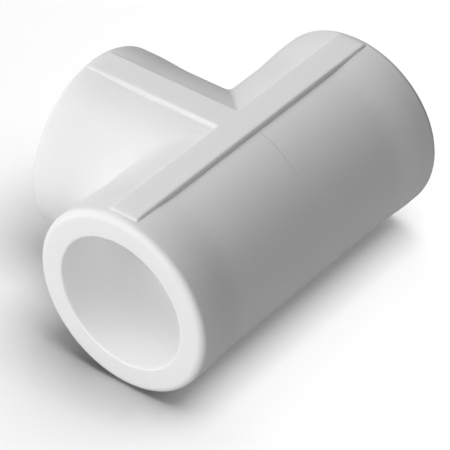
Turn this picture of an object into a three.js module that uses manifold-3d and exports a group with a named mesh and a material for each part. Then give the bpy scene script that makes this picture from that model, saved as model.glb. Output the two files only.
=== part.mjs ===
// A 25 mm socket-fusion equal tee for hot and cold water pipe, moulded in one shot from
// white polypropylene random copolymer (PP-R).
//
// Frame: millimetres, +Z up. The run lies along X and the branch points along +Y. The
// origin is under the middle of the tee's bounding box, on the surface it rests on.

import * as THREE from 'three';
import { mergeVertices } from 'three/addons/utils/BufferGeometryUtils.js';
import Module from 'manifold-3d';

// Outside of the three arms.
const END_FACE_DISTANCE = 31.5; // from the crossing of the axes to each end face
const COLLAR_RADIUS = 17; // outside, at the three ends
const WAIST_RADIUS = 16.6; // outside, between the ends
const FLARE_START = 20; // distance from the crossing where the waist starts to widen
const FLARE_END = 28; // and where it has reached the collar radius
const FLARE_STEPS = 4;
const RIM_RADIUS = 1.2; // rounding of the outer edge of an end face
const RIM_STEPS = 3;

// Sockets and waterway. The sockets taper towards a stop that the pipe's end meets.
const MOUTH_RADIUS = 12.25;
const SOCKET_ROOT_RADIUS = 12.05;
const STOP_DISTANCE = 13; // from the crossing of the axes to the stop
const LEAD_IN = 0.35; // rounding of the mouth's edge
const LEAD_IN_STEPS = 2;
const WATERWAY_RADIUS = 9;
const CUT_PAST_FACE = 2; // how far a cutter runs out of an end face

// Raised T-shaped band for marking, one on each half of the mould.
const BAND_HALF_WIDTH = 2.9;
const BAND_FACE_DISTANCE = 17.2; // from the crossing of the axes to the band's flat face
const BAND_SETBACK = 1.8; // bare collar left between the band's end and the end face
const BAND_ROOT_DISTANCE = 14; // the band is sunk into the wall down to here
const BAND_EDGE = 0.2; // rounding along the band's upper edges

const AROUND = 72; // facets around every turned surface

// The crossing of the axes, which puts the origin under the middle of the bounding box.
const AXIS_Y = -(END_FACE_DISTANCE - COLLAR_RADIUS) / 2;
const AXIS_Z = BAND_FACE_DISTANCE;

const PLASTIC_COLOUR = 0xf1f1ef;
const PLASTIC_ROUGHNESS = 0.42;

const wasm = await Module();
wasm.setup();

// A closed three.js geometry as a manifold solid.
function toSolid(geometry) {
  const bare = geometry.clone();
  bare.deleteAttribute('normal');
  bare.deleteAttribute('uv');
  const merged = mergeVertices(bare);
  return new wasm.Manifold(new wasm.Mesh({
    numProp: 3,
    vertProperties: new Float32Array(merged.attributes.position.array),
    triVerts: new Uint32Array(merged.index.array),
  }));
}

// A manifold solid as a three.js geometry.
function toGeometry(solid) {
  const mesh = solid.getMesh();
  const geometry = new THREE.BufferGeometry();
  geometry.setAttribute('position', new THREE.BufferAttribute(mesh.vertProperties, 3));
  geometry.setIndex(new THREE.BufferAttribute(mesh.triVerts, 1));
  geometry.computeVertexNormals();
  return geometry;
}

// Points on a quarter circle, both ends included. x is the distance from the axis of
// the arm and y the distance along it.
function quarterRound(centreX, centreY, radius, startAngle, endAngle, steps) {
  const points = [];
  for (let i = 0; i <= steps; i += 1) {
    const angle = THREE.MathUtils.lerp(startAngle, endAngle, i / steps);
    const x = centreX + radius * Math.cos(angle);
    const y = centreY + radius * Math.sin(angle);
    points.push(new THREE.Vector2(x, y));
  }
  return points;
}

// Outline of one arm from its waist out to the middle of its end face.
function armOutline() {
  const points = [];
  for (let i = 0; i <= FLARE_STEPS; i += 1) {
    const distance = THREE.MathUtils.lerp(FLARE_START, FLARE_END, i / FLARE_STEPS);
    const widening = THREE.MathUtils.smoothstep(distance, FLARE_START, FLARE_END);
    const radius = THREE.MathUtils.lerp(WAIST_RADIUS, COLLAR_RADIUS, widening);
    points.push(new THREE.Vector2(radius, distance));
  }
  const rimX = COLLAR_RADIUS - RIM_RADIUS;
  const rimY = END_FACE_DISTANCE - RIM_RADIUS;
  points.push(...quarterRound(rimX, rimY, RIM_RADIUS, 0, Math.PI / 2, RIM_STEPS));
  points.push(new THREE.Vector2(0, END_FACE_DISTANCE));
  return points;
}

// Outline of the hollow in one arm, from the waterway out through the mouth.
function hollowOutline() {
  const shoulderX = MOUTH_RADIUS + LEAD_IN;
  const shoulderY = END_FACE_DISTANCE - LEAD_IN;
  const past = END_FACE_DISTANCE + CUT_PAST_FACE;
  return [
    new THREE.Vector2(WATERWAY_RADIUS, STOP_DISTANCE),
    new THREE.Vector2(SOCKET_ROOT_RADIUS, STOP_DISTANCE),
    ...quarterRound(shoulderX, shoulderY, LEAD_IN, Math.PI, Math.PI / 2, LEAD_IN_STEPS),
    new THREE.Vector2(shoulderX, past),
    new THREE.Vector2(0, past),
  ];
}

function mirrored(outline) {
  return outline.map((point) => new THREE.Vector2(point.x, -point.y)).reverse();
}

// A solid turned about the X axis from an arm's outline at both ends.
function turnedRun(outline) {
  const geometry = new THREE.LatheGeometry([...mirrored(outline), ...outline], AROUND);
  geometry.rotateZ(-Math.PI / 2);
  return toSolid(geometry);
}

// A solid turned about the Y axis that starts at the crossing of the axes.
function turnedBranch(outline) {
  const start = new THREE.Vector2(0, 0);
  const firstRing = new THREE.Vector2(outline[0].x, 0);
  return toSolid(new THREE.LatheGeometry([start, firstRing, ...outline], AROUND));
}

// The T-shaped band as a plate that stands out of one side of the body.
function markingBand() {
  const reach = END_FACE_DISTANCE - BAND_SETBACK;
  const half = BAND_HALF_WIDTH;
  const outline = new THREE.Shape();
  outline.moveTo(-reach, -half);
  outline.lineTo(reach, -half);
  outline.lineTo(reach, half);
  outline.lineTo(half, half);
  outline.lineTo(half, reach);
  outline.lineTo(-half, reach);
  outline.lineTo(-half, half);
  outline.lineTo(-reach, half);
  outline.closePath();
  const geometry = new THREE.ExtrudeGeometry(outline, {
    depth: BAND_FACE_DISTANCE - BAND_ROOT_DISTANCE - 2 * BAND_EDGE,
    bevelEnabled: true,
    bevelThickness: BAND_EDGE,
    bevelSize: BAND_EDGE,
    bevelOffset: -BAND_EDGE,
    bevelSegments: 2,
  });
  geometry.translate(0, 0, BAND_ROOT_DISTANCE + BAND_EDGE);
  return geometry;
}

function makeBody() {
  const topBand = markingBand();
  const undersideBand = topBand.clone();
  undersideBand.rotateY(Math.PI);
  const outside = turnedRun(armOutline())
    .add(turnedBranch(armOutline()))
    .add(toSolid(topBand))
    .add(toSolid(undersideBand));
  const body = outside
    .subtract(turnedRun(hollowOutline()))
    .subtract(turnedBranch(hollowOutline()));
  const material = new THREE.MeshStandardMaterial({
    color: PLASTIC_COLOUR,
    roughness: PLASTIC_ROUGHNESS,
    metalness: 0,
  });
  const mesh = new THREE.Mesh(toGeometry(body), material);
  mesh.name = 'tee_body';
  return mesh;
}

const tee = new THREE.Group();
const body = makeBody();
body.position.set(0, AXIS_Y, AXIS_Z);
tee.add(body);

export default tee;
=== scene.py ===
"""A socket-fusion pipe tee in white polypropylene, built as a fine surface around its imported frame."""
import math

import bmesh
import bpy
from bpy.props import FloatProperty, FloatVectorProperty, PointerProperty
from mathutils import Matrix, Vector


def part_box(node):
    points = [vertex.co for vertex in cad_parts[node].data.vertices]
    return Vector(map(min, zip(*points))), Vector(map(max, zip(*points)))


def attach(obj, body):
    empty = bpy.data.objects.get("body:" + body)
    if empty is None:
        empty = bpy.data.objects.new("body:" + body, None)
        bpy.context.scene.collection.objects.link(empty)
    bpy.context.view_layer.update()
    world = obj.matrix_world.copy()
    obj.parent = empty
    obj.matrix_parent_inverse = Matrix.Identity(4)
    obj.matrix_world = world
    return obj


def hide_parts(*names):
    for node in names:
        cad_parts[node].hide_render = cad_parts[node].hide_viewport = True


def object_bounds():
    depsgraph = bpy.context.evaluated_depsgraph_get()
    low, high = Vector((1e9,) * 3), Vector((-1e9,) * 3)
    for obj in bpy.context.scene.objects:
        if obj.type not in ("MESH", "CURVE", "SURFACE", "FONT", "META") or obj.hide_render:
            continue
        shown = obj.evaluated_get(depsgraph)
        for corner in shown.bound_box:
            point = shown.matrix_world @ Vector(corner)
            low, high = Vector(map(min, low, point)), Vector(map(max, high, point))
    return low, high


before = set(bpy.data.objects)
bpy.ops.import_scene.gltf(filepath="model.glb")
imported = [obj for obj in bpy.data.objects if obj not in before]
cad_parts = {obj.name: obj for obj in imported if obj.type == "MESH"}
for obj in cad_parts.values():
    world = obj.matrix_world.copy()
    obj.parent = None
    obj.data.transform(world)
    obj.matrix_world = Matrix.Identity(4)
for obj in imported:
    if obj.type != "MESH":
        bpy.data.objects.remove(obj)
CAD_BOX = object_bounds()

bl_info = {
    "name": "Socket-fusion Tee",
    "version": (1, 0, 0),
    "blender": (4, 5, 0),
    "location": "3D View > Sidebar > Tee",
    "description": "Builds a moulded polypropylene pipe tee and a small studio around its packed frame",
    "category": "Add Mesh",
}

MM = 0.001
TEE_NODE = "tee_body"
TEE_BODY = "root"

# The frame sets the outside. The arms are equally long, so the run gives their length, and
# what the branch doesn't reach across the run is the collar's radius.
LOW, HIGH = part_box(TEE_NODE)
FACE_DISTANCE = (HIGH.x - LOW.x) / 2
COLLAR_RADIUS = HIGH.y - LOW.y - FACE_DISTANCE
BAND_FACE = (HIGH.z - LOW.z) / 2
CROSSING = Vector((0.0, LOW.y + COLLAR_RADIUS, LOW.z + BAND_FACE))

# Fineness of the surface.
BAND_COLUMNS = 8  # faces across the marking band
SIDE_COLUMNS = 64  # faces from one band round to the other
FLARE_ROWS = 8
ROUND_STEPS = 8  # faces around a rounded edge
BAND_EDGE_STEPS = 3  # faces around a rounded edge of the band
MERGE = 1e-6  # vertices closer than this are one

# Rows beside the mitre between run and branch, as distances along an arm, and how many times
# the vertices are moved towards the fillet.
MITRE_ROWS = [value * MM for value in (0.2, 0.4, 0.65, 0.9, 1.2, 1.55, 2.0)]
FILLET_PASSES = 4
BLEND_WIDTH = 1.17  # width of the blend over the radius of the fillet it stands for

# The weld line on the side away from the branch: rows beside it, and angles round the run from
# the top, for its start, where it begins to fade, where it has strayed back and where it ends.
WELD_ROWS = [value * MM for value in (0.04, 0.08, 0.2)]
WELD_START = math.radians(10)
WELD_FADE = math.radians(34)
WELD_MIDDLE = math.radians(52)
WELD_END = math.radians(54)

SUPPORT = 0.08 * MM  # rows that hold the flat faces flat, beside their rounded edges
REGION_TOLERANCE = 0.1 * MM
OUTER_SHARE = 0.9  # beyond this share of the outermost radius or height lies the outside only
CORNER_ANGLE = 1.0  # walls of the band that turn by more than this, in radians, meet at a corner
SHARP_ANGLE = math.radians(38)  # edges that turn by more than this stay sharp in the shading

# The plastic itself.
PLASTIC_IOR = 1.49
TRANSLUCENCY = 0.35
LIGHT_REACH = 2.0 * MM  # how far light spreads inside the plastic
LIGHT_REACH_BY_COLOUR = (1.0, 0.98, 0.96)
TONE_DRIFT = 0.03
SPECK_DARKENING = 0.15
RELIEF = 0.006 * MM  # height of the fine relief that the materials add

# Fineness of the finishes' patterns, in features per metre.
GRAIN_FINENESS = 3500.0
WAVE_FINENESS = 160.0
CLOUD_FINENESS = 90.0
SPECK_FINENESS = 260.0
RUB_FINENESS = 220.0
SCUFF_FINENESS = (120.0, 2600.0, 2600.0)
RUN_STREAK_FINENESS = (70.0, 2400.0, 2400.0)
BRANCH_STREAK_FINENESS = (2400.0, 70.0, 2400.0)
RING_FINENESS = 4200.0

# Which parts of those patterns count.
SPECK_SIZE = 0.028  # radius of a speck over the distance between them
SPECK_CHOICE = 0.9  # share of the specks that stay hidden
SCUFF_CHOICE = 0.72  # noise above this is a scuff
SCUFF_TURN = (0.3, 0.2, 0.7)


def length_property(name, description, default, smallest=0.0):
    """A size in the sidebar, shown in the scene's length unit."""
    return FloatProperty(
        name=name,
        description=description,
        default=default,
        min=smallest,
        precision=5,
        unit="LENGTH",
        subtype="DISTANCE",
    )


def colour_property(name, description, default):
    """A colour in the sidebar."""
    return FloatVectorProperty(
        name=name, description=description, default=default, size=4, min=0.0, max=1.0, subtype="COLOR"
    )


class TeeSizes(bpy.types.PropertyGroup):
    """Sizes of the moulding that its frame doesn't give."""

    waist_radius: length_property("Waist radius", "Outside radius between the collars", 16.6 * MM)
    flare_start: length_property("Flare start", "Where the waist starts to widen", 20 * MM)
    flare_end: length_property("Flare end", "Where the collar's radius is reached", 28 * MM)
    rim_round: length_property("Rim rounding", "Rounding of an end face's outer edge", 1.2 * MM)
    mouth_radius: length_property("Mouth radius", "Socket radius at its mouth", 12.25 * MM)
    root_radius: length_property("Root radius", "Socket radius at the stop", 12.05 * MM)
    lead_in: length_property("Lead-in", "Rounding of the mouth's edge", 0.35 * MM)
    stop_distance: length_property("Stop distance", "From the crossing to the pipe stop", 13 * MM)
    stop_round: length_property("Stop rounding", "Rounding at the stop's two edges", 0.4 * MM)
    waterway_radius: length_property("Waterway radius", "Radius of the passage for water", 9 * MM)
    waterway_round: length_property("Waterway rounding", "Rounding where the passages cross", 0.5 * MM)
    crotch_fillet: length_property("Crotch fillet", "Fillet between run and branch", 1.5 * MM)
    band_half_width: length_property("Band half width", "Half the marking band's width", 2.9 * MM)
    band_setback: length_property("Band setback", "Bare end past the band at the left run end", 1.8 * MM)
    far_setback: length_property("Far band setback", "Bare end past the band's other ends", 1.28 * MM)
    band_draft: length_property("Band draft", "How far the band's walls lean in", 0.2 * MM)
    band_round: length_property("Band rounding", "Rounding of the band's edges", 0.25 * MM)
    weld_depth: length_property("Weld line depth", "Depth of the line opposite the branch", 0.03 * MM)
    weld_slant: length_property("Weld line slant", "How far the line strays from the middle", 1.1 * MM)


class TeeColours(bpy.types.PropertyGroup):
    """Colours of the plastic and of the floor."""

    plastic: colour_property("Plastic", "Body colour of the polypropylene", (0.8, 0.8, 0.8, 1.0))
    # The socket colour is painted light: a paler copy of the same plastic, standing in for light that
    # passes through the walls into the sockets.
    socket: colour_property(
        "Socket", "Plastic inside the sockets, lightened by what their walls let through",
        (0.92, 0.92, 0.92, 1.0)
    )
    weld_line: colour_property("Weld line", "Where two flows of plastic met", (0.68, 0.68, 0.68, 1.0))
    floor: colour_property("Floor", "The studio's floor", (0.85, 0.84, 0.845, 1.0))
    floor_bounce: colour_property(
        "Floor bounce", "Colour that the floor throws back at the tee", (0.25, 0.25, 0.25, 1.0)
    )


class TeeStage(bpy.types.PropertyGroup):
    """Camera and light of the studio."""

    azimuth: FloatProperty(
        name="Azimuth", description="Bearing of the camera, which looks along +Y at 0",
        default=math.radians(-50.36), unit="ROTATION", subtype="ANGLE"
    )
    elevation: FloatProperty(
        name="Elevation", description="Camera height above the horizon",
        default=math.radians(38.388), unit="ROTATION", subtype="ANGLE"
    )
    roll: FloatProperty(
        name="Roll", description="Turn of the camera about its line of sight",
        default=math.radians(-1.491), unit="ROTATION", subtype="ANGLE"
    )
    distance: length_property("Distance", "From the aim to the camera", 0.5787)
    lens: FloatProperty(
        name="Lens", description="Focal length in millimetres on a 36 mm frame", default=279.9, min=1.0
    )
    aim_offset: FloatVectorProperty(
        name="Aim offset", description="From the crossing of the tee's axes to the camera's aim",
        default=(-3.25 * MM, 1.1 * MM, -2.27 * MM), size=3, unit="LENGTH", subtype="XYZ"
    )


# ---------------------------------------------------------------------------------------
# The moulding


def arc(centre_radius, centre_distance, radius, start, end):
    """Points of a rounded edge in an arm's outline, angles in degrees from straight outwards."""
    points = []
    for step in range(ROUND_STEPS + 1):
        angle = math.radians(start + (end - start) * step / ROUND_STEPS)
        across = centre_radius + radius * math.cos(angle)
        along = centre_distance + radius * math.sin(angle)
        points.append((across, along))
    return points


def smoothstep(value, low, high):
    """0 at low and 1 at high, with no slope at either."""
    t = min(1.0, max(0.0, (value - low) / (high - low)))
    return t * t * (3 - 2 * t)


def arm_outline(sizes, band_end):
    """(radius, distance along the arm) from the crossing, over the outside and back inside."""
    waist = sizes.waist_radius
    outline = [(waist, 0.0)]
    for row in range(FLARE_ROWS + 1):
        along = sizes.flare_start + (sizes.flare_end - sizes.flare_start) * row / FLARE_ROWS
        widening = smoothstep(along, sizes.flare_start, sizes.flare_end)
        outline.append((waist + (COLLAR_RADIUS - waist) * widening, along))
    rim = sizes.rim_round
    collar_end = FACE_DISTANCE - rim - SUPPORT
    if band_end < collar_end - REGION_TOLERANCE:
        outline.append((COLLAR_RADIUS, band_end))
    outline.append((COLLAR_RADIUS, collar_end))
    outline += arc(COLLAR_RADIUS - rim, FACE_DISTANCE - rim, rim, 0, 90)
    outline.append((COLLAR_RADIUS - rim - SUPPORT, FACE_DISTANCE))

    lead = sizes.lead_in
    mouth = sizes.mouth_radius
    outline.append((mouth + lead + SUPPORT, FACE_DISTANCE))
    outline += arc(mouth + lead, FACE_DISTANCE - lead, lead, 90, 180)
    outline.append((mouth, FACE_DISTANCE - lead - SUPPORT))

    stop = sizes.stop_distance
    edge = sizes.stop_round
    root = sizes.root_radius
    waterway = sizes.waterway_radius
    outline.append((root, stop + edge + SUPPORT))
    outline += arc(root - edge, stop + edge, edge, 0, -90)
    outline.append((root - edge - SUPPORT, stop))
    outline.append((waterway + edge + SUPPORT, stop))
    outline += arc(waterway + edge, stop - edge, edge, 90, 180)
    outline.append((waterway, stop - edge - SUPPORT))
    outline.append((waterway, 0.0))
    return outline


def turned_arm(sizes, band_end):
    """An arm along +Y, turned from its outline, with columns that follow the band's edges."""
    bm = bmesh.new()
    edge_angle = math.asin(sizes.band_half_width / sizes.waist_radius)
    verts = [bm.verts.new((0.0, along, radius)) for radius, along in arm_outline(sizes, band_end)]
    edges = [bm.edges.new(pair) for pair in zip(verts, verts[1:])]
    bmesh.ops.rotate(bm, verts=verts, cent=(0, 0, 0), matrix=Matrix.Rotation(-edge_angle, 3, "Y"))
    band_sweep = (2 * edge_angle, BAND_COLUMNS)
    side_sweep = (math.pi - 2 * edge_angle, SIDE_COLUMNS)
    ends = [*verts, *edges]
    for angle, steps in (band_sweep, side_sweep, band_sweep, side_sweep):
        spun = bmesh.ops.spin(
            bm, geom=ends, cent=(0, 0, 0), axis=(0, 1, 0), angle=angle, steps=steps, use_merge=False
        )
        ends = spun["geom_last"]
    bmesh.ops.remove_doubles(bm, verts=bm.verts, dist=MERGE)
    return bm


def plane_cut(bm, faces, point, normal, clear=False):
    """Cuts these faces by a plane, and with clear drops what lies behind it."""
    edges = {edge for face in faces for edge in face.edges}
    verts = {vert for face in faces for vert in face.verts}
    bmesh.ops.bisect_plane(
        bm,
        geom=[*verts, *edges, *faces],
        dist=MERGE,
        plane_co=point,
        plane_no=normal,
        clear_inner=clear,
    )


def mitre(bm, side):
    """Cuts an arm at 45 degrees on one side, where it meets its neighbour, and adds rows there."""
    normal = Vector((-side, 1.0, 0.0)).normalized()
    plane_cut(bm, bm.faces[:], (0, 0, 0), normal, clear=True)
    for distance in MITRE_ROWS:
        beside = [face for face in bm.faces if face.calc_center_median().x * side > 0]
        plane_cut(bm, beside, (0, distance, 0), normal)


def weld_rows(bm, side):
    """Adds rows beside the weld line on the outside of a run arm, away from the branch."""
    for distance in WELD_ROWS:
        beside = []
        for face in bm.faces:
            middle = face.calc_center_median()
            outside = math.hypot(middle.x, middle.z) > COLLAR_RADIUS * OUTER_SHARE
            if middle.x * side > 0 and outside:
                beside.append(face)
        plane_cut(bm, beside, (0, distance, 0), (0, 1, 0))


def add_arm(target, arm, turn, flip=False):
    """Moves a finished arm into place in the target, turned about Z."""
    matrix = Matrix.Rotation(turn, 4, "Z")
    if flip:
        matrix = Matrix.Scale(-1, 4, (1, 0, 0)) @ matrix
    arm.transform(matrix)
    mesh = bpy.data.meshes.new("arm")
    arm.to_mesh(mesh)
    arm.free()
    target.from_mesh(mesh)
    bpy.data.meshes.remove(mesh)


def band_reach(sizes):
    """How far the band reaches from the crossing: to the left, and along the other two arms."""
    return FACE_DISTANCE - sizes.band_setback, FACE_DISTANCE - sizes.far_setback


def crossed_arms(sizes):
    """Run and branch as one closed surface with sharp crossings, centred on the crossing."""
    tee = bmesh.new()
    left, far = band_reach(sizes)
    for flip, band_end in ((False, left), (True, far)):
        arm = turned_arm(sizes, band_end)
        mitre(arm, 1)
        weld_rows(arm, -1)
        add_arm(tee, arm, math.pi / 2, flip)
    branch = turned_arm(sizes, far)
    mitre(branch, 1)
    mitre(branch, -1)
    add_arm(tee, branch, 0.0)
    bmesh.ops.remove_doubles(tee, verts=tee.verts, dist=MERGE)
    bmesh.ops.recalc_face_normals(tee, faces=tee.faces)
    return tee


def soften_crossing(bm, radius, rounding):
    """Rounds the edge where two crossing cylinders of this radius meet, as a rolling ball would.

    Each vertex near the edge moves onto a smooth blend of the two cylinders. The blend is as wide
    as the ball makes it: it closes to nothing on top, where the cylinders touch along one plane.
    """
    for vert in bm.verts:
        if vert.co.y < MERGE:
            continue
        for _ in range(FILLET_PASSES):
            x, y, z = vert.co
            to_run = math.hypot(y, z) - radius
            to_branch = math.hypot(x, z) - radius
            width = BLEND_WIDTH * rounding * (1 - min(1.0, (z / radius) ** 2))
            gap = abs(to_run - to_branch)
            nearest = min(to_run, to_branch)
            if gap >= width or abs(nearest) > rounding:
                break
            share = (width - gap) / width
            run_share = share / 2 if to_run > to_branch else 1 - share / 2
            slope_run = Vector((0.0, y, z)).normalized() * run_share
            slope_branch = Vector((x, 0.0, z)).normalized() * (1 - run_share)
            slope = slope_run + slope_branch
            rise = nearest - share * share * width / 4
            vert.co -= slope * (rise / slope.length_squared)


def sink_weld_line(bm, sizes):
    """Presses the weld line into the side away from the branch, slanted and fading downwards."""
    band_angle = math.asin(sizes.band_half_width / sizes.waist_radius)
    for vert in bm.verts:
        x, y, z = vert.co
        outside = math.hypot(y, z) > sizes.waist_radius - MERGE
        if not outside or abs(x) > WELD_ROWS[-1] + MERGE or y > -MERGE or z < 0:
            continue
        angle = math.atan2(-y, z)
        strays = smoothstep(angle, 0.0, band_angle) * (1 - smoothstep(angle, band_angle, WELD_MIDDLE))
        vert.co.x += sizes.weld_slant * strays
        if angle > band_angle + MERGE:
            depth = sizes.weld_depth * (1 - smoothstep(angle, WELD_FADE, WELD_END))
            closeness = 1 - smoothstep(abs(x), 0.0, WELD_ROWS[1])
            inwards = Vector((0.0, y, z)).normalized() * (depth * closeness)
            vert.co -= inwards


def in_band(face, half_width, left, far, side):
    """Whether a face of the outside lies under the T-shaped band on this side."""
    wide = half_width + REGION_TOLERANCE
    points = [vert.co for vert in face.verts]
    if any(point.z * side < BAND_FACE * OUTER_SHARE for point in points):
        return False
    start, end = -left - MERGE, far + MERGE
    along_run = all(abs(point.y) <= wide and start <= point.x <= end for point in points)
    along_branch = all(abs(point.x) <= wide and -wide <= point.y <= end for point in points)
    return along_run or along_branch


def draw_in(vert, half_width, left, far, draft):
    """Puts a vertex of the band's outline on the band's straight edge, drawn in by the draft."""
    x, y = abs(vert.co.x), abs(vert.co.y)
    on_run_edge = abs(y - half_width) < REGION_TOLERANCE
    on_branch_edge = abs(x - half_width) < REGION_TOLERANCE and vert.co.y > 0
    if on_run_edge:
        vert.co.y = math.copysign(half_width - draft, vert.co.y)
    if on_branch_edge:
        vert.co.x = math.copysign(half_width - draft, vert.co.x)
    if abs(vert.co.x + left) < MERGE:
        vert.co.x = draft - left
    if abs(vert.co.x - far) < MERGE:
        vert.co.x = far - draft
    if abs(vert.co.y - far) < MERGE:
        vert.co.y = far - draft


def raise_band(bm, sizes, side):
    """Raises the marking band out of the outside and rounds its edges."""
    half_width = sizes.band_half_width
    left, far = band_reach(sizes)
    region = [face for face in bm.faces if in_band(face, half_width, left, far, side)]
    raised = bmesh.ops.extrude_face_region(bm, geom=region)["geom"]
    bmesh.ops.delete(bm, geom=[face for face in region if face.is_valid], context="FACES")
    tops = {item for item in raised if isinstance(item, bmesh.types.BMFace)}
    top_verts = {vert for face in tops for vert in face.verts}
    walls = {face for vert in top_verts for face in vert.link_faces} - tops
    for vert in {vert for face in walls for vert in face.verts}:
        draft = sizes.band_draft if vert in top_verts else 0.0
        draw_in(vert, half_width, left, far, draft)
    for vert in top_verts:
        vert.co.z = side * BAND_FACE
    bm.normal_update()
    outline = [edge for edge in bm.edges if len(tops.intersection(edge.link_faces)) == 1]
    corners = []
    for edge in bm.edges:
        between_walls = len(walls.intersection(edge.link_faces)) == 2
        if between_walls and edge.calc_face_angle(0.0) > CORNER_ANGLE:
            corners.append(edge)
    bmesh.ops.bevel(
        bm,
        geom=outline + corners,
        offset=sizes.band_round,
        offset_type="OFFSET",
        segments=BAND_EDGE_STEPS,
        profile=0.5,
        affect="EDGES",
        clamp_overlap=False,
        material=-1,
    )


OUTSIDE, BAND, END_FACE, SOCKET = range(4)


def region_of(face, sizes):
    """Which finish a face of the moulding has."""
    middle = face.calc_center_median()
    if abs(middle.z) > BAND_FACE - MERGE:
        return BAND
    on_branch = middle.y > abs(middle.x)
    along = middle.y if on_branch else abs(middle.x)
    across = math.hypot(middle.x if on_branch else middle.y, middle.z)
    if across < sizes.mouth_radius + MERGE:
        return SOCKET
    if along > FACE_DISTANCE - MERGE:
        return END_FACE
    return OUTSIDE


def shade(bm):
    """Smooth shading, except over edges that are really sharp."""
    for face in bm.faces:
        face.smooth = True
    for edge in bm.edges:
        edge.smooth = edge.calc_face_angle(0.0) < SHARP_ANGLE


def tee_moulding(sizes):
    """The whole moulding as a mesh in the frame's own place."""
    bm = crossed_arms(sizes)
    soften_crossing(bm, sizes.waist_radius, sizes.crotch_fillet)
    soften_crossing(bm, sizes.waterway_radius, sizes.waterway_round)
    sink_weld_line(bm, sizes)
    for side in (1, -1):
        raise_band(bm, sizes, side)
    for face in bm.faces:
        face.material_index = region_of(face, sizes)
    shade(bm)
    bmesh.ops.translate(bm, verts=bm.verts, vec=CROSSING)
    mesh = bpy.data.meshes.new("tee_moulding")
    bm.to_mesh(mesh)
    bm.free()
    return mesh


# ---------------------------------------------------------------------------------------
# Finishes


def new_group(name, inputs, outputs):
    """A shader node group with (name, socket type, default) inputs and (name, type) outputs."""
    group = bpy.data.node_groups.new(name, "ShaderNodeTree")
    for socket_name, kind, default in inputs:
        socket = group.interface.new_socket(socket_name, in_out="INPUT", socket_type=kind)
        socket.default_value = default
    for socket_name, kind in outputs:
        group.interface.new_socket(socket_name, in_out="OUTPUT", socket_type=kind)
    return group, group.nodes.new("NodeGroupInput"), group.nodes.new("NodeGroupOutput")


def node(tree, kind, **settings):
    """A new node with its settings made."""
    made = tree.nodes.new(kind)
    for key, value in settings.items():
        setattr(made, key, value)
    return made


def math_node(tree, operation, first, second=None, clamp=False):
    """A math node fed by sockets or plain numbers; returns its output."""
    made = node(tree, "ShaderNodeMath", operation=operation, use_clamp=clamp)
    for index, value in enumerate((first, second)):
        if value is None:
            continue
        if isinstance(value, (int, float)):
            made.inputs[index].default_value = value
        else:
            tree.links.new(value, made.inputs[index])
    return made.outputs[0]


def object_point(tree):
    """Object coordinates measured from the crossing of the tee's axes."""
    coordinates = node(tree, "ShaderNodeTexCoord")
    centred = node(tree, "ShaderNodeMapping", vector_type="POINT")
    centred.inputs["Location"].default_value = -CROSSING
    tree.links.new(coordinates.outputs["Object"], centred.inputs["Vector"])
    return centred.outputs["Vector"]


def noise(tree, vector, scale, detail=2.0, roughness=0.5):
    """A noise texture's value; scale is a number or a socket, in features per metre."""
    made = node(tree, "ShaderNodeTexNoise")
    tree.links.new(vector, made.inputs["Vector"])
    if isinstance(scale, (int, float)):
        made.inputs["Scale"].default_value = scale
    else:
        tree.links.new(scale, made.inputs["Scale"])
    made.inputs["Detail"].default_value = detail
    made.inputs["Roughness"].default_value = roughness
    return made.outputs["Fac"]


def eased(tree, value, start_and_end, results):
    """A number that eases from the first result at the start to the second at the end."""
    made = node(tree, "ShaderNodeMapRange", interpolation_type="SMOOTHSTEP")
    tree.links.new(value, made.inputs["Value"])
    names = ("From Min", "From Max", "To Min", "To Max")
    for name, number in zip(names, (*start_and_end, *results)):
        made.inputs[name].default_value = number
    return made.outputs["Result"]


def in_branch(tree, split):
    """1 in the branch's share of the tee and 0 in the run's, from separated coordinates."""
    sideways = math_node(tree, "ABSOLUTE", split.outputs["X"])
    return math_node(tree, "GREATER_THAN", split.outputs["Y"], sideways)


def mould_grain_group():
    """The fine stipple that a mould's blasted steel leaves, over the slow waves of shrinkage."""
    tree, given, result = new_group(
        "Mould grain",
        [
            ("Grain Size", "NodeSocketFloat", GRAIN_FINENESS),
            ("Grain", "NodeSocketFloat", 0.5),
            ("Waves", "NodeSocketFloat", 0.5),
        ],
        [("Height", "NodeSocketFloat")],
    )
    point = object_point(tree)
    fine = noise(tree, point, given.outputs["Grain Size"], 3.0, 0.6)
    slow = noise(tree, point, WAVE_FINENESS, 2.0, 0.4)
    fine_height = math_node(tree, "MULTIPLY", fine, given.outputs["Grain"])
    slow_height = math_node(tree, "MULTIPLY", slow, given.outputs["Waves"])
    height = math_node(tree, "ADD", fine_height, slow_height)
    tree.links.new(height, result.inputs["Height"])
    return tree


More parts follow.
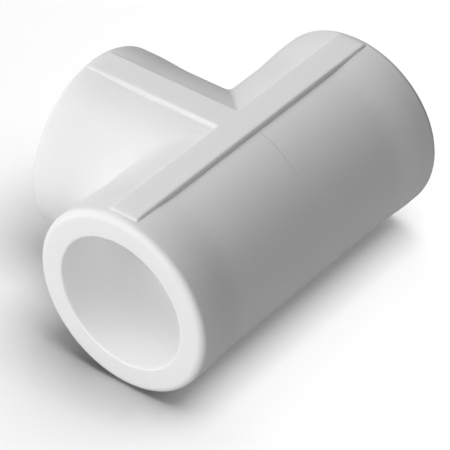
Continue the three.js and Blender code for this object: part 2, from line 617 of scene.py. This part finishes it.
def tone_drift_group():
    """Slight cloudiness of the white plastic, with a few specks of scorched resin."""
    tree, given, result = new_group(
        "Tone drift",
        [
            ("Colour", "NodeSocketColor", (0.8, 0.8, 0.8, 1.0)),
            ("Drift", "NodeSocketFloat", 0.02),
            ("Specks", "NodeSocketFloat", 0.2),
        ],
        [("Colour", "NodeSocketColor")],
    )
    point = object_point(tree)
    cloud = noise(tree, point, CLOUD_FINENESS, 3.0, 0.5)
    centred = math_node(tree, "SUBTRACT", cloud, 0.5)
    swing = math_node(tree, "MULTIPLY", centred, given.outputs["Drift"])
    level = math_node(tree, "ADD", swing, 1.0)
    cells = node(tree, "ShaderNodeTexVoronoi")
    cells.inputs["Scale"].default_value = SPECK_FINENESS
    cells.inputs["Randomness"].default_value = 1.0
    tree.links.new(point, cells.inputs["Vector"])
    close = math_node(tree, "LESS_THAN", cells.outputs["Distance"], SPECK_SIZE)
    chosen = node(tree, "ShaderNodeSeparateColor")
    tree.links.new(cells.outputs["Color"], chosen.inputs["Color"])
    rare = math_node(tree, "GREATER_THAN", chosen.outputs["Red"], SPECK_CHOICE)
    speck = math_node(tree, "MULTIPLY", close, rare)
    darkening = math_node(tree, "MULTIPLY", speck, given.outputs["Specks"])
    shade_level = math_node(tree, "SUBTRACT", level, darkening)
    scaled = node(tree, "ShaderNodeVectorMath", operation="SCALE")
    tree.links.new(given.outputs["Colour"], scaled.inputs[0])
    tree.links.new(shade_level, scaled.inputs["Scale"])
    tree.links.new(scaled.outputs["Vector"], result.inputs["Colour"])
    return tree


def handling_group():
    """Roughness that rises in faint rubbed patches and along hairline scuffs."""
    tree, given, result = new_group(
        "Handling marks",
        [
            ("Roughness", "NodeSocketFloat", 0.4),
            ("Rubbing", "NodeSocketFloat", 0.06),
            ("Scuffs", "NodeSocketFloat", 0.08),
        ],
        [("Roughness", "NodeSocketFloat")],
    )
    point = object_point(tree)
    patches = noise(tree, point, RUB_FINENESS, 4.0, 0.6)
    centred = math_node(tree, "SUBTRACT", patches, 0.5)
    rubbed = math_node(tree, "MULTIPLY", centred, given.outputs["Rubbing"])
    stretched = node(tree, "ShaderNodeMapping", vector_type="POINT")
    stretched.inputs["Rotation"].default_value = SCUFF_TURN
    stretched.inputs["Scale"].default_value = SCUFF_FINENESS
    tree.links.new(point, stretched.inputs["Vector"])
    hairs = noise(tree, stretched.outputs["Vector"], 1.0, 1.0, 0.5)
    thin = math_node(tree, "GREATER_THAN", hairs, SCUFF_CHOICE)
    scuffed = math_node(tree, "MULTIPLY", thin, given.outputs["Scuffs"])
    base = math_node(tree, "ADD", given.outputs["Roughness"], rubbed)
    total = math_node(tree, "ADD", base, scuffed, clamp=True)
    tree.links.new(total, result.inputs["Roughness"])
    return tree


def weld_mask_group():
    """A mask that is 1 on the weld line opposite the branch and 0 away from it."""
    tree, given, result = new_group(
        "Weld line",
        [("Width", "NodeSocketFloat", 0.25 * MM), ("Slant", "NodeSocketFloat", 1.1 * MM)],
        [("Mask", "NodeSocketFloat")],
    )
    split = node(tree, "ShaderNodeSeparateXYZ")
    tree.links.new(object_point(tree), split.inputs["Vector"])
    behind = math_node(tree, "MULTIPLY", split.outputs["Y"], -1.0)
    angle = math_node(tree, "ARCTAN2", behind, split.outputs["Z"])
    straying = eased(tree, angle, (WELD_START, WELD_MIDDLE), (1.0, 0.0))
    centre = math_node(tree, "MULTIPLY", straying, given.outputs["Slant"])
    away = math_node(tree, "ABSOLUTE", math_node(tree, "SUBTRACT", split.outputs["X"], centre))
    nearness = math_node(tree, "DIVIDE", away, given.outputs["Width"])
    line = math_node(tree, "SUBTRACT", 1.0, nearness, clamp=True)
    fading = eased(tree, angle, (WELD_FADE, WELD_END), (1.0, 0.0))
    started = math_node(tree, "GREATER_THAN", angle, WELD_START)
    lasting = math_node(tree, "MULTIPLY", fading, started)
    tree.links.new(math_node(tree, "MULTIPLY", line, lasting), result.inputs["Mask"])
    return tree


def core_marks_group():
    """Fine streaks along each socket, where the core pin was polished and drawn out."""
    tree, given, result = new_group(
        "Core marks",
        [("Streaks", "NodeSocketFloat", 1.0)],
        [("Height", "NodeSocketFloat")],
    )
    point = object_point(tree)
    split = node(tree, "ShaderNodeSeparateXYZ")
    tree.links.new(point, split.inputs["Vector"])
    streaks = []
    for scale in (RUN_STREAK_FINENESS, BRANCH_STREAK_FINENESS):
        drawn = node(tree, "ShaderNodeMapping", vector_type="POINT")
        drawn.inputs["Scale"].default_value = scale
        tree.links.new(point, drawn.inputs["Vector"])
        streaks.append(noise(tree, drawn.outputs["Vector"], 1.0, 2.0, 0.5))
    chosen = node(tree, "ShaderNodeMix", data_type="FLOAT")
    tree.links.new(in_branch(tree, split), chosen.inputs["Factor"])
    tree.links.new(streaks[0], chosen.inputs["A"])
    tree.links.new(streaks[1], chosen.inputs["B"])
    height = math_node(tree, "MULTIPLY", chosen.outputs["Result"], given.outputs["Streaks"])
    tree.links.new(height, result.inputs["Height"])
    return tree


def turning_marks_group():
    """Faint rings on an end face, copied from the turned shoulder of the core."""
    tree, given, result = new_group(
        "Turning marks",
        [("Rings", "NodeSocketFloat", 1.0)],
        [("Height", "NodeSocketFloat")],
    )
    split = node(tree, "ShaderNodeSeparateXYZ")
    tree.links.new(object_point(tree), split.inputs["Vector"])
    across = node(tree, "ShaderNodeMix", data_type="FLOAT")
    tree.links.new(in_branch(tree, split), across.inputs["Factor"])
    tree.links.new(split.outputs["Y"], across.inputs["A"])
    tree.links.new(split.outputs["X"], across.inputs["B"])
    sideways = across.outputs["Result"]
    sideways_squared = math_node(tree, "MULTIPLY", sideways, sideways)
    height_squared = math_node(tree, "MULTIPLY", split.outputs["Z"], split.outputs["Z"])
    radius = math_node(tree, "SQRT", math_node(tree, "ADD", sideways_squared, height_squared))
    ring_point = node(tree, "ShaderNodeCombineXYZ")
    tree.links.new(radius, ring_point.inputs["X"])
    rings = noise(tree, ring_point.outputs["Vector"], RING_FINENESS, 2.0, 0.6)
    tree.links.new(math_node(tree, "MULTIPLY", rings, given.outputs["Rings"]), result.inputs["Height"])
    return tree


def placed(tree, group, **values):
    """A group node in a material with its own values, given by input name."""
    made = node(tree, "ShaderNodeGroup", node_tree=group)
    for key, value in values.items():
        made.inputs[key.replace("_", " ")].default_value = value
    return made


def plastic(name, groups, colour, roughness, grain, waves, extra=None, weld_colour=None):
    """White polypropylene with this finish; extra names a group that gives a second relief."""
    material = bpy.data.materials.new(name)
    material.use_nodes = True
    tree = material.node_tree
    shader = tree.nodes["Principled BSDF"]
    shader.inputs["IOR"].default_value = PLASTIC_IOR
    shader.inputs["Subsurface Weight"].default_value = TRANSLUCENCY
    shader.inputs["Subsurface Radius"].default_value = LIGHT_REACH_BY_COLOUR
    shader.inputs["Subsurface Scale"].default_value = LIGHT_REACH

    drift = placed(tree, groups["tone"], Colour=colour, Drift=TONE_DRIFT, Specks=SPECK_DARKENING)
    colour = drift.outputs["Colour"]
    if weld_colour:
        line = placed(tree, groups["weld"])
        mix = node(tree, "ShaderNodeMix", data_type="RGBA")
        tree.links.new(line.outputs["Mask"], mix.inputs["Factor"])
        tree.links.new(colour, mix.inputs["A"])
        mix.inputs["B"].default_value = weld_colour
        colour = mix.outputs["Result"]
    tree.links.new(colour, shader.inputs["Base Color"])

    marks = placed(tree, groups["handling"], Roughness=roughness)
    tree.links.new(marks.outputs["Roughness"], shader.inputs["Roughness"])

    relief = placed(tree, groups["grain"], Grain=grain, Waves=waves)
    height = relief.outputs["Height"]
    if extra:
        second = placed(tree, groups[extra])
        height = math_node(tree, "ADD", height, second.outputs["Height"])
    raised = node(tree, "ShaderNodeBump")
    raised.inputs["Strength"].default_value = 1.0
    raised.inputs["Distance"].default_value = RELIEF
    tree.links.new(height, raised.inputs["Height"])
    tree.links.new(raised.outputs["Normal"], shader.inputs["Normal"])
    return material


def tee_finishes(colours):
    """The moulding's finishes, in the order of OUTSIDE, BAND, END_FACE and SOCKET."""
    groups = {
        "grain": mould_grain_group(),
        "tone": tone_drift_group(),
        "handling": handling_group(),
        "weld": weld_mask_group(),
        "core": core_marks_group(),
        "rings": turning_marks_group(),
    }
    weld = colours.weld_line
    outside = dict(colour=colours.plastic, roughness=0.50, grain=0.35, waves=1.0, weld_colour=weld)
    band = dict(colour=colours.plastic, roughness=0.50, grain=0.30, waves=0.6)
    end_face = dict(colour=colours.plastic, roughness=0.50, grain=0.25, waves=0.4, extra="rings")
    # The sockets take the paler socket colour, which is painted light and not a different plastic.
    socket = dict(colour=colours.socket, roughness=0.42, grain=0.15, waves=0.4, extra="core")
    return [
        plastic("polypropylene_outside", groups, **outside),
        plastic("polypropylene_band", groups, **band),
        plastic("polypropylene_end_face", groups, **end_face),
        plastic("polypropylene_socket", groups, **socket),
    ]


class TEE_OT_moulding(bpy.types.Operator):
    """Build the tee's moulding in place of its plain frame"""

    bl_idname = "tee.moulding"
    bl_label = "Moulding"

    def execute(self, context):
        scene = context.scene
        mesh = tee_moulding(scene.tee_sizes)
        for material in tee_finishes(scene.tee_colours):
            mesh.materials.append(material)
        moulding = bpy.data.objects.new("tee_moulding", mesh)
        scene.collection.objects.link(moulding)
        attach(moulding, TEE_BODY)
        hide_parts(TEE_NODE)
        return {"FINISHED"}


# ---------------------------------------------------------------------------------------
# The studio

# Name, what it lights, bearing and elevation in degrees as seen from the tee, size in metres
# and power in watts. A lamp below the floor's level stands in for light that the floor throws
# up, and the floor doesn't hold it back.
LAMPS = (
    ("key_light", "TEE", -90, 30, 0.5, 3.4),
    ("high_light", "TEE", -135, 56, 0.5, 2.9),
    ("low_light", "TEE", -45, 10, 0.5, 0.85),
    ("right_light", "TEE", 90, 45, 0.5, 0.4),
    ("back_light", "TEE", 135, 35, 0.5, 1.5),
    ("low_back_light", "TEE", 180, 10, 0.5, 1.25),
    ("bounce_left", "TEE", -135, -20, 0.5, 1.25),
    ("bounce_front", "TEE", -45, -20, 0.5, 0.95),
    ("floor_light_front", "FLOOR", 0, 75, 0.5, 4.5),
    ("floor_light_side", "FLOOR", 45, 45, 1.0, 5.6),
    ("floor_light_back", "FLOOR", 135, 60, 0.5, 1.7),
)
LAMP_DISTANCE = 0.8
FLOOR_SIZE = 4.0
FLOOR_CELLS = 8
WHITE_FROM, WHITE_AT = 0.1, 0.3  # where the floor's paper turns into plain white, in metres
PAPER_ROUGHNESS = 0.9
PAPER_SHINE = 0.1
NEAREST_SEEN = 0.01
WHITE = (1.0, 1.0, 1.0, 1.0)


def direction(bearing, elevation):
    """Unit vector towards a bearing and elevation: 0 is towards -Y and 90 degrees towards +X."""
    level = math.cos(elevation)
    return Vector((math.sin(bearing) * level, -math.cos(bearing) * level, math.sin(elevation)))


def add_floor(scene, colours):
    """A plain pale floor under the tee."""
    bm = bmesh.new()
    bmesh.ops.create_grid(bm, x_segments=FLOOR_CELLS, y_segments=FLOOR_CELLS, size=FLOOR_SIZE / 2)
    bmesh.ops.translate(bm, verts=bm.verts, vec=(0, 0, CAD_BOX[0][2]))
    mesh = bpy.data.meshes.new("floor")
    bm.to_mesh(mesh)
    bm.free()
    material = bpy.data.materials.new("floor_paper")
    material.use_nodes = True
    tree = material.node_tree
    shader = tree.nodes["Principled BSDF"]
    shader.inputs["Roughness"].default_value = PAPER_ROUGHNESS
    shader.inputs["Specular IOR Level"].default_value = PAPER_SHINE
    path = node(tree, "ShaderNodeLightPath")
    paper = node(tree, "ShaderNodeMix", data_type="RGBA")
    tree.links.new(path.outputs["Is Camera Ray"], paper.inputs["Factor"])
    paper.inputs["A"].default_value = colours.floor_bounce
    paper.inputs["B"].default_value = colours.floor
    tree.links.new(paper.outputs["Result"], shader.inputs["Base Color"])
    # Far from the tee the paper is as white as the backdrop behind it, but sheds no light.
    away = node(tree, "ShaderNodeVectorMath", operation="LENGTH")
    tree.links.new(object_point(tree), away.inputs[0])
    whitening = eased(tree, away.outputs["Value"], (WHITE_FROM, WHITE_AT), (0.0, 1.0))
    seen = math_node(tree, "MULTIPLY", whitening, path.outputs["Is Camera Ray"])
    shader.inputs["Emission Color"].default_value = WHITE
    tree.links.new(seen, shader.inputs["Emission Strength"])
    mesh.materials.append(material)
    floor = bpy.data.objects.new("floor", mesh)
    scene.collection.objects.link(floor)
    return floor


def light_links(floor):
    """Collections that make a lamp light only the floor, or everything but the floor."""
    links = {}
    for target, state in (("FLOOR", "INCLUDE"), ("TEE", "EXCLUDE")):
        collection = bpy.data.collections.new("lit_" + target.lower())
        collection.objects.link(floor)
        collection.collection_objects[0].light_linking.link_state = state
        links[target] = collection
    return links


def white_backdrop():
    """A world that is white to look at and sheds no light."""
    world = bpy.data.worlds.new("backdrop")
    world.use_nodes = True
    tree = world.node_tree
    background = tree.nodes["Background"]
    background.inputs["Color"].default_value = WHITE
    path = node(tree, "ShaderNodeLightPath")
    tree.links.new(path.outputs["Is Camera Ray"], background.inputs["Strength"])
    return world


def add_lamp(scene, name, receivers, bearing, elevation, size, power):
    """A square soft light that faces the tee and lights the receivers."""
    light = bpy.data.lights.new(name, "AREA")
    light.shape = "SQUARE"
    light.size = size
    light.energy = power
    lamp = bpy.data.objects.new(name, light)
    towards = direction(math.radians(bearing), math.radians(elevation))
    lamp.location = CROSSING + towards * LAMP_DISTANCE
    lamp.rotation_euler = towards.to_track_quat("Z", "Y").to_euler()
    lamp.light_linking.receiver_collection = receivers
    if elevation < 0:
        lamp.light_linking.blocker_collection = receivers
    scene.collection.objects.link(lamp)


def add_camera(scene, stage):
    """The camera, aimed and rolled about its line of sight."""
    back = direction(stage.azimuth, stage.elevation)
    level_right = Vector((math.cos(stage.azimuth), math.sin(stage.azimuth), 0.0))
    level_up = back.cross(level_right)
    right = level_right * math.cos(stage.roll) + level_up * math.sin(stage.roll)
    up = back.cross(right)
    matrix = Matrix((right, up, back)).transposed().to_4x4()
    matrix.translation = CROSSING + Vector(stage.aim_offset) + back * stage.distance
    data = bpy.data.cameras.new("camera")
    data.lens = stage.lens
    data.clip_start = NEAREST_SEEN
    camera = bpy.data.objects.new("camera", data)
    camera.matrix_world = matrix
    scene.collection.objects.link(camera)
    scene.camera = camera


class TEE_OT_stage(bpy.types.Operator):
    """Set up the floor, the soft lights and the camera"""

    bl_idname = "tee.stage"
    bl_label = "Stage"

    def execute(self, context):
        scene = context.scene
        floor = add_floor(scene, scene.tee_colours)
        links = light_links(floor)
        for name, target, *rest in LAMPS:
            add_lamp(scene, name, links[target], *rest)
        scene.world = white_backdrop()
        scene.view_settings.view_transform = "Standard"
        scene.view_settings.look = "None"
        add_camera(scene, scene.tee_stage)
        return {"FINISHED"}


class TEE_PT_panel(bpy.types.Panel):
    """Builds the tee and holds its sizes and colours"""

    bl_label = "Tee"
    bl_idname = "TEE_PT_panel"
    bl_space_type = "VIEW_3D"
    bl_region_type = "UI"
    bl_category = "Tee"

    def draw(self, context):
        layout = self.layout
        layout.operator(TEE_OT_moulding.bl_idname)
        layout.operator(TEE_OT_stage.bl_idname)
        scene = context.scene
        for group in (scene.tee_sizes, scene.tee_colours, scene.tee_stage):
            box = layout.box()
            for name in group.bl_rna.properties.keys():
                if name not in ("rna_type", "name"):
                    box.prop(group, name)


CLASSES = (TeeSizes, TeeColours, TeeStage, TEE_OT_moulding, TEE_OT_stage, TEE_PT_panel)


def register():
    for cls in CLASSES:
        bpy.utils.register_class(cls)
    bpy.types.Scene.tee_sizes = PointerProperty(type=TeeSizes)
    bpy.types.Scene.tee_colours = PointerProperty(type=TeeColours)
    bpy.types.Scene.tee_stage = PointerProperty(type=TeeStage)


def unregister():
    del bpy.types.Scene.tee_stage
    del bpy.types.Scene.tee_colours
    del bpy.types.Scene.tee_sizes
    for cls in reversed(CLASSES):
        bpy.utils.unregister_class(cls)


def main():
    register()
    bpy.ops.tee.moulding()
    bpy.ops.tee.stage()


if __name__ == "__main__":
    main()
